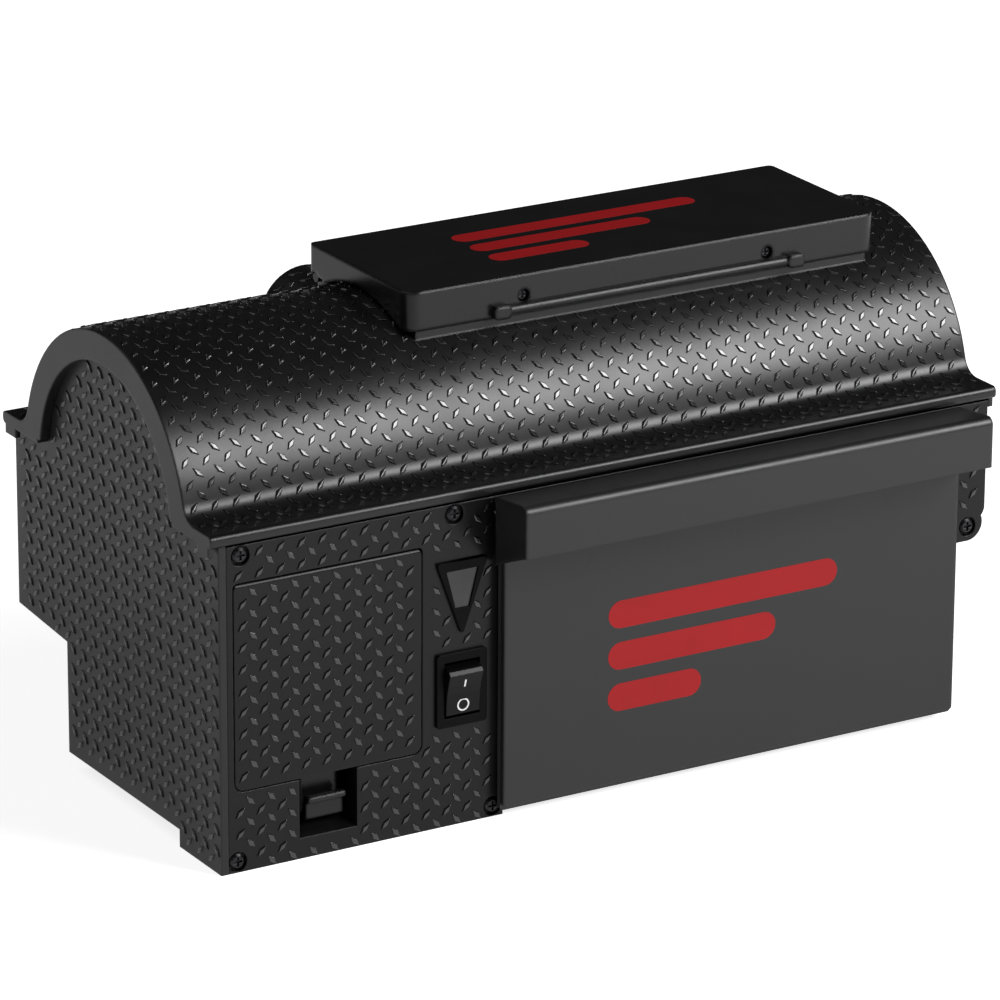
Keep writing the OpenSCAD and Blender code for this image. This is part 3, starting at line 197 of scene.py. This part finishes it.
LOOKS = {
    "housing": ["top_cover"],
    "end": ["base_housing"],
    "panel": ["front_panel", "battery_door"],
    "lid": ["bait_lid", "lid_pull", "battery_latch"],
    "drawer": ["drawer_front"],
    "inner": ["drawer_tray", "entry_stairs", "chamber_frame", "battery_case", "brush_holder"],
    "chamber": ["chamber_trough", "lid_liner"],
    "black_steel": ["front_screws", "cover_screws", "lid_screws", "drawer_screws", "lid_hinge_pins"],
    "rubber": ["rubber_feet"],
    "lens": ["indicator_lens"],
    "led": ["indicator_led"],
    "switch": ["switch_rocker", "lid_switch", "drawer_switch", "dc_jack"],
    "bezel": ["switch_body", "indicator_frame"],
    "button": ["lid_switch_plunger", "drawer_switch_plunger"],
    "brass": ["switch_terminals", "chamber_bushes", "slip_rings", "contact_brushes"],
    "board": ["circuit_board"],
    "chip": ["board_parts"],
    "coil": ["hv_transformer"],
    "capacitor": ["hv_capacitor"],
    "cells": ["battery_cells"],
    "steel": ["battery_springs", "battery_contacts", "door_contacts", "gear_motor", "idler_pin",
              "electrode_plates"],
    "nylon": ["motor_pinion", "idler_gear", "chamber_gear"],
    "cup": ["bait_cup"],
}
for look, members in LOOKS.items():
    for member in members:
        slots = NODES[member].data.materials
        slots.clear()
        slots.append(M[look])
unfinished = sorted(set(NODES) - {n for members in LOOKS.values() for n in members})
if unfinished:
    raise SystemExit(f"no look is given for {unfinished}")


# ---------------------------------------------------------------- small tools

def finish_piece(mesh_name, bm, look, body):
    """A named piece from a bmesh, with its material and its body."""
    bmesh.ops.recalc_face_normals(bm, faces=bm.faces)
    mesh = bpy.data.meshes.new(mesh_name)
    bm.to_mesh(mesh)
    bm.free()
    mesh.materials.append(M[look])
    piece = bpy.data.objects.new(mesh_name, mesh)
    bpy.context.scene.collection.objects.link(piece)
    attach(piece, body)
    return piece


def tree_of(names):
    """One search tree over the meshes of these CAD parts, at rest."""
    points, faces = [], []
    for n in names:
        base = len(points)
        mesh = NODES[n].data
        points += [v.co.copy() for v in mesh.vertices]
        faces += [[base + i for i in p.vertices] for p in mesh.polygons]
    return BVHTree.FromPolygons(points, faces)


# ---------------------------------------------------------------- tread relief

ACROSS = 6.3 * MM         # pitch along a row
UP = 6.05 * MM            # pitch between rows
RINGS = [(-0.15, 2.08, 0.92), (0.20, 1.94, 0.80), (0.40, 1.58, 0.50)]  # height, half length, half width in mm
LOOK_ABOVE = 0.6 * MM     # where a look down at the surface starts
FLUSH = 0.1 * MM          # how far from the expected place a surface may be and still count as this one
EDGE_GAP = 0.15           # least gap between a lozenge and an edge, in mm
LEAN = 47                 # angle of a lozenge's long axis to the row, in degrees


def lozenge(bm, place, u, v, lean):
    """One raised lozenge centred at (u, v) on the surface that place() describes."""
    c, s = math.cos(math.radians(lean)), math.sin(math.radians(lean))
    rings = []
    for height, half_length, half_width in RINGS:
        ring = []
        for along, aside in ((half_length, 0), (0, half_width), (-half_length, 0), (0, -half_width)):
            point, normal = place(u + (along * c - aside * s) * MM, v + (along * s + aside * c) * MM)
            ring.append(bm.verts.new(point + normal * height * MM))
        rings.append(ring)
    for lower, upper in zip(rings, rings[1:]):
        for i in range(4):
            bm.faces.new((lower[i], lower[(i + 1) % 4], upper[(i + 1) % 4], upper[i]))
    bm.faces.new(reversed(rings[0]))
    bm.faces.new(rings[-1])


def clear_of_edges(place, own, others, u, v, lean):
    """True where the part's own surface lies under the whole lozenge and no other part covers it."""
    c, s = math.cos(math.radians(lean)), math.sin(math.radians(lean))
    half_length, half_width = RINGS[0][1] + EDGE_GAP, RINGS[0][2] + EDGE_GAP
    for along, aside in ((0, 0), (half_length, 0), (-half_length, 0), (0, half_width), (0, -half_width)):
        point, normal = place(u + (along * c - aside * s) * MM, v + (along * s + aside * c) * MM)
        start = point + normal * LOOK_ABOVE
        hit = own.ray_cast(start, -normal, LOOK_ABOVE * 1.3)
        if hit[0] is None or abs(hit[3] - LOOK_ABOVE) > FLUSH:
            return False
        if others.ray_cast(start, -normal, LOOK_ABOVE * 1.05)[0] is not None:
            return False
    return True


def tread(name, part, look, place, u_range, v_range, start=(0.0, 0.0)):
    """Rows of lozenges that lean left and right in turn, on one part's surface."""
    own = tree_of([part])
    others = tree_of([n for n in NODES if n != part])
    bm = bmesh.new()
    first_u = math.floor((u_range[0] - start[0]) / ACROSS)
    last_u = math.ceil((u_range[1] - start[0]) / ACROSS)
    first_v = math.floor((v_range[0] - start[1]) / UP)
    last_v = math.ceil((v_range[1] - start[1]) / UP)
    for i in range(first_u, last_u + 1):
        for j in range(first_v, last_v + 1):
            for half, lean in ((0.0, -LEAN), (0.5, LEAN)):
                u = start[0] + (i + half) * ACROSS
                v = start[1] + (j + half) * UP
                inside = u_range[0] < u < u_range[1] and v_range[0] < v < v_range[1]
                if inside and clear_of_edges(place, own, others, u, v, lean):
                    lozenge(bm, place, u, v, lean)
    body = NODES[part]["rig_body"]
    return finish_piece(name, bm, look, body)


def flat(origin, across, up):
    """A flat surface: u runs along across, v along up, and the normal is across x up."""
    origin, across, up = Vector(origin), Vector(across), Vector(up)
    normal = across.cross(up)
    return lambda u, v: (origin + across * u + up * v, normal)


panel_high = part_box("front_panel")[1]
house_low, house_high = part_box("base_housing")
cover_low, cover_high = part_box("top_cover")
door_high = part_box("battery_door")[1]
OUTSIDE = 0.3             # well outside the object, on any side
HALF_UP = 0.07            # halfway up the housing's walls


def face_at(part, start, direction):
    """The first surface of a part seen from start along direction."""
    hit = tree_of([part]).ray_cast(Vector(start), Vector(direction))
    return hit[0]


# Surfaces are found by looking at the parts themselves, from outside towards the middle.
mid_y = (house_low.y + house_high.y) / 2
left_face = face_at("base_housing", (-OUTSIDE, mid_y, HALF_UP), (1, 0, 0)).x
right_face = face_at("base_housing", (OUTSIDE, mid_y, HALF_UP), (-1, 0, 0)).x
rear_face = face_at("base_housing", (0, OUTSIDE, HALF_UP), (0, -1, 0)).y
panel_face = face_at("front_panel", (left_face + 0.064, -OUTSIDE, 0.02), (0, 1, 0)).y
door_face = face_at("battery_door", (left_face + 0.045, -OUTSIDE, 0.05), (0, 1, 0)).y

tread("front_tread", "front_panel", "panel_tread",
      flat((left_face, panel_face, 0), (1, 0, 0), (0, 0, 1)),
      (0, right_face - left_face), (0, panel_high.z), (65.6 * MM, 62.2 * MM))
tread("door_tread", "battery_door", "panel_tread",
      flat((left_face, door_face, 0), (1, 0, 0), (0, 0, 1)),
      (0, door_high.x - left_face), (0, door_high.z), (41.6 * MM, 66.2 * MM))
tread("left_end_tread", "base_housing", "end_tread",
      flat((left_face, panel_face, 0), (0, -1, 0), (0, 0, 1)),
      (-(house_high.y - panel_face), 0.01), (0, cover_high.z), (-84.2 * MM, 54.8 * MM))
tread("right_end_tread", "base_housing", "end_tread",
      flat((right_face, panel_face, 0), (0, 1, 0), (0, 0, 1)),
      (-0.01, house_high.y - panel_face), (0, cover_high.z), (32.0 * MM, 54.8 * MM))
tread("rear_tread", "base_housing", "end_tread",
      flat((right_face, rear_face, 0), (-1, 0, 0), (0, 0, 1)),
      (0, right_face - left_face), (0, house_high.z), (3.0 * MM, 54.8 * MM))


# The cover's section, from the front edge over the dome to the rear edge, is a flat, a hollow
# curve, the dome, a hollow curve and a flat.
FLANGE_TOP = 96.0 * MM
DOME_RADIUS = 46.5 * MM
DOME_CENTRE = Vector((0, 8.5 * MM, 88.0 * MM))
COVE_RADIUS = 6.0 * MM
cove_rise = FLANGE_TOP + COVE_RADIUS - DOME_CENTRE.z
cove_angle = math.asin(cove_rise / (DOME_RADIUS + COVE_RADIUS))
cove_offset = (DOME_RADIUS + COVE_RADIUS) * math.cos(cove_angle)
dome_half = DOME_RADIUS * (math.pi / 2 - cove_angle)
cove_length = COVE_RADIUS * (math.pi / 2 - cove_angle)


def cover_surface(u, v):
    """The cover's top: u along X, v along the section, 0 at the crest and negative to the front."""
    side = 1 if v > 0 else -1
    run = abs(v)
    if run <= dome_half:
        angle = math.pi / 2 - run / DOME_RADIUS
        normal = Vector((0, side * math.cos(angle), math.sin(angle)))
        return DOME_CENTRE + normal * DOME_RADIUS + Vector((u, 0, 0)), normal
    if run <= dome_half + cove_length:
        turned = (run - dome_half) / COVE_RADIUS
        angle = cove_angle + turned
        normal = Vector((0, side * math.cos(angle), math.sin(angle)))
        centre = DOME_CENTRE + Vector((0, side * cove_offset, cove_rise))
        return centre - normal * COVE_RADIUS + Vector((u, 0, 0)), normal
    beyond = run - dome_half - cove_length
    point = Vector((u, DOME_CENTRE.y + side * (cove_offset + beyond), FLANGE_TOP))
    return point, Vector((0, 0, 1))


section = dome_half + cove_length + cove_offset
tread("cover_tread", "top_cover", "housing_tread", cover_surface,
      (cover_low.x, cover_high.x), (-section, section), (2.0 * MM, 1.5 * MM))


# The entry hood behind the barrel is an arch along Y.
HOOD_RADIUS = 14.0 * MM
HOOD_CENTRE = Vector((cover_low.x + 93.6 * MM, 0, 109.4 * MM))
hood_quarter = HOOD_RADIUS * math.pi / 2
hood_straight = HOOD_CENTRE.z - FLANGE_TOP


def hood_surface(u, v):
    """The hood's outside: u along Y, v along its section, 0 at the crest and positive towards +X."""
    side = 1 if v > 0 else -1
    run = abs(v)
    if run <= hood_quarter:
        angle = run / HOOD_RADIUS
        normal = Vector((side * math.sin(angle), 0, math.cos(angle)))
        return HOOD_CENTRE + normal * HOOD_RADIUS + Vector((0, u, 0)), normal
    point = HOOD_CENTRE + Vector((side * HOOD_RADIUS, u, hood_quarter - run))
    return point, Vector((side, 0, 0))


tread("hood_tread", "top_cover", "housing_tread", hood_surface,
      (0.02, cover_high.y), (-hood_quarter - hood_straight, hood_quarter + hood_straight), (0.0, 1.0 * MM))


# ---------------------------------------------------------------- printed marks

def outline_piece(name, loops, place, look, body, above, below):
    """A thin closed plate: its outer and inner outlines, in the surface's own u and v, in metres."""
    bm = bmesh.new()
    tops, bottoms = [], []
    for loop in loops:
        for store, height in ((tops, above), (bottoms, -below)):
            row = []
            for u, v in loop:
                point, normal = place(u, v)
                row.append(bm.verts.new(point + normal * height))
            store.append(row)
    for top, bottom in zip(tops, bottoms):
        for i in range(len(top)):
            j = (i + 1) % len(top)
            bm.faces.new((bottom[i], bottom[j], top[j], top[i]))
    for store in (tops, bottoms):
        if len(store) == 1:
            bm.faces.new(store[0])
        else:
            outer, inner = store
            for i in range(len(outer)):
                j = (i + 1) % len(outer)
                bm.faces.new((outer[i], outer[j], inner[j], inner[i]))
    return finish_piece(name, bm, look, body)


def bar_outline(centre, length, width, radius, steps=6):
    """A bar with rounded corners, along u."""
    points = []
    for corner, (sx, sy) in enumerate(((1, 1), (-1, 1), (-1, -1), (1, -1))):
        cx = centre[0] + sx * (length / 2 - radius)
        cy = centre[1] + sy * (width / 2 - radius)
        for k in range(steps + 1):
            a = math.radians(90 * corner + 90 * k / steps)
            points.append((cx + radius * math.cos(a), cy + radius * math.sin(a)))
    return points


def ring_outline(centre, radius, steps=40):
    """A circle as a closed outline."""
    angles = [2 * math.pi * k / steps for k in range(steps)]
    return [(centre[0] + radius * math.cos(a), centre[1] + radius * math.sin(a)) for a in angles]


INK = 0.04 * MM
front_low, front_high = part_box("drawer_front")
drawer_face = face_at("drawer_front", (0, -OUTSIDE, 0.04), (0, 1, 0)).y
drawer_plane = flat((0, drawer_face, 0), (1, 0, 0), (0, 0, 1))
mark_x = (front_low.x + front_high.x) / 2 - 3 * MM
DRAWER_BARS = [(74, 52.5), (54, 40.5), (30, 28.5)]  # length and height above the floor, in mm
DRAWER_BAR_WIDTH = 8 * MM
for row, (length, height) in enumerate(DRAWER_BARS):
    left_shift = (DRAWER_BARS[0][0] - length) / 2 * MM
    outline = bar_outline((mark_x - left_shift, height * MM), length * MM, DRAWER_BAR_WIDTH,
                          DRAWER_BAR_WIDTH / 2)
    outline_piece(f"drawer_mark_{row}", [outline], drawer_plane, "mark", "drawer", INK, INK)

lid_low, lid_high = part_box("bait_lid")
lid_plane = flat((0, 0, lid_high.z), (1, 0, 0), (0, 1, 0))
lid_middle = (lid_low.y + lid_high.y) / 2
lid_mark_x = (lid_low.x + lid_high.x) / 2 - 1 * MM
LID_BARS = [(78, 9.5), (57, -0.5), (31, -10.5)]     # length and distance behind the lid's middle, in mm
LID_BAR_WIDTH = 6.6 * MM
for row, (length, offset) in enumerate(LID_BARS):
    left_shift = (LID_BARS[0][0] - length) / 2 * MM
    outline = bar_outline((lid_mark_x - left_shift, lid_middle + offset * MM), length * MM,
                          LID_BAR_WIDTH, LID_BAR_WIDTH / 2)
    outline_piece(f"lid_mark_{row}", [outline], lid_plane, "mark", "lid", INK, INK)


rocker_low, rocker_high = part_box("switch_rocker")
rocker_height = rocker_high.z - rocker_low.z
ON_AT, OFF_AT = 0.66, 0.22     # shares of the rocker's height


def rocker_plane(height):
    """The plane that touches the rocker's face at a height, with v running up it."""
    x = (rocker_low.x + rocker_high.x) / 2
    hit = tree_of(["switch_rocker"]).ray_cast(Vector((x, -OUTSIDE, height)), Vector((0, 1, 0)))
    normal = Vector((0, hit[1].y, hit[1].z)).normalized()
    across = Vector((1, 0, 0))
    up = normal.cross(across)
    return lambda u, v: (hit[0] + across * u + up * v, normal)


on_place = rocker_plane(rocker_low.z + ON_AT * rocker_height)
off_place = rocker_plane(rocker_low.z + OFF_AT * rocker_height)
outline_piece("rocker_on_bar", [bar_outline((0, 0), 0.5 * MM, 2.4 * MM, 0.1 * MM, 2)], on_place,
              "white", "rocker", INK, INK)
outline_piece("rocker_off_ring", [ring_outline((0, 0), 1.85 * MM), ring_outline((0, 0), 1.40 * MM)],
              off_place, "white", "rocker", INK, INK)


# ---------------------------------------------------------------- studio

YAW, PITCH, ROLL = (math.radians(a) for a in (30.89, 19.50, 0.29))
EYE = Vector((-0.8422, -1.3981, 0.6467))
LENS, SENSOR = 225.6, 36.0     # in mm


def add_camera():
    """The camera, at the photograph's viewing angle."""
    forward = Vector((math.sin(YAW) * math.cos(PITCH), math.cos(YAW) * math.cos(PITCH), -math.sin(PITCH)))
    level = Vector((math.cos(YAW), -math.sin(YAW), 0))
    above = level.cross(forward)
    right = level * math.cos(ROLL) + above * math.sin(ROLL)
    up = above * math.cos(ROLL) - level * math.sin(ROLL)
    data = bpy.data.cameras.new("camera")
    data.lens = LENS
    data.sensor_width = SENSOR
    data.clip_end = 50
    camera = bpy.data.objects.new("camera", data)
    camera.matrix_world = Matrix.Translation(EYE) @ Matrix((right, up, -forward)).transposed().to_4x4()
    bpy.context.scene.collection.objects.link(camera)
    bpy.context.scene.camera = camera


def soft_box(name, direction, distance, size, power, aim=Vector((0, 0, 0.07))):
    """A rectangular soft light that faces the object."""
    data = bpy.data.lights.new(name, "AREA")
    data.shape = "RECTANGLE"
    data.size, data.size_y = size
    data.energy = power
    lamp = bpy.data.objects.new(name, data)
    away = Vector(direction).normalized()
    lamp.location = aim + away * distance
    lamp.rotation_euler = (-away).to_track_quat("-Z", "Y").to_euler()
    bpy.context.scene.collection.objects.link(lamp)


def seen_or_felt(tree, seen, felt):
    """One strength where the surface is looked at, and another where it lights or is reflected."""
    ray = tree.nodes.new("ShaderNodeLightPath")
    strength = tree.nodes.new("ShaderNodeMapRange")
    strength.inputs["To Min"].default_value = felt
    strength.inputs["To Max"].default_value = seen
    tree.links.new(ray.outputs["Is Camera Ray"], strength.inputs["Value"])
    return strength.outputs["Result"]


def add_world(seen, felt):
    """A white surround behind the object, and a dim grey one for its light and reflections."""
    world = bpy.data.worlds.new("studio")
    world.use_nodes = True
    tree = world.node_tree
    tree.nodes.clear()
    background = tree.nodes.new("ShaderNodeBackground")
    output = tree.nodes.new("ShaderNodeOutputWorld")
    tree.links.new(seen_or_felt(tree, seen, felt), background.inputs["Strength"])
    tree.links.new(background.outputs["Background"], output.inputs["Surface"])
    bpy.context.scene.world = world


def add_floor(half, seen, felt):
    """A plain pale floor, self-lit so that it looks near white."""
    mat, shader = new_material("pale_floor")
    shader.inputs["Base Color"].default_value = (0.9, 0.9, 0.9, 1)
    shader.inputs["Roughness"].default_value = 0.9
    shader.inputs["Emission Color"].default_value = (1, 1, 1, 1)
    mat.node_tree.links.new(seen_or_felt(mat.node_tree, seen, felt), shader.inputs["Emission Strength"])
    bm = bmesh.new()
    bmesh.ops.create_grid(bm, x_segments=4, y_segments=4, size=half)
    mesh = bpy.data.meshes.new("floor")
    bm.to_mesh(mesh)
    bm.free()
    mesh.materials.append(mat)
    floor = bpy.data.objects.new("floor", mesh)
    bpy.context.scene.collection.objects.link(floor)


add_camera()
add_world(seen=1.0, felt=0.03)
add_floor(half=4.0, seen=0.80, felt=0.35)
soft_box("key", (0.60, -0.66, 0.58), 1.5, (0.9, 0.6), 23)
soft_box("fill_left", (-0.75, -0.35, 0.60), 1.8, (1.2, 1.0), 2)
soft_box("top_left", (-0.45, 0.45, 0.85), 1.8, (1.2, 1.2), 4)
bpy.context.scene.view_settings.view_transform = "Standard"
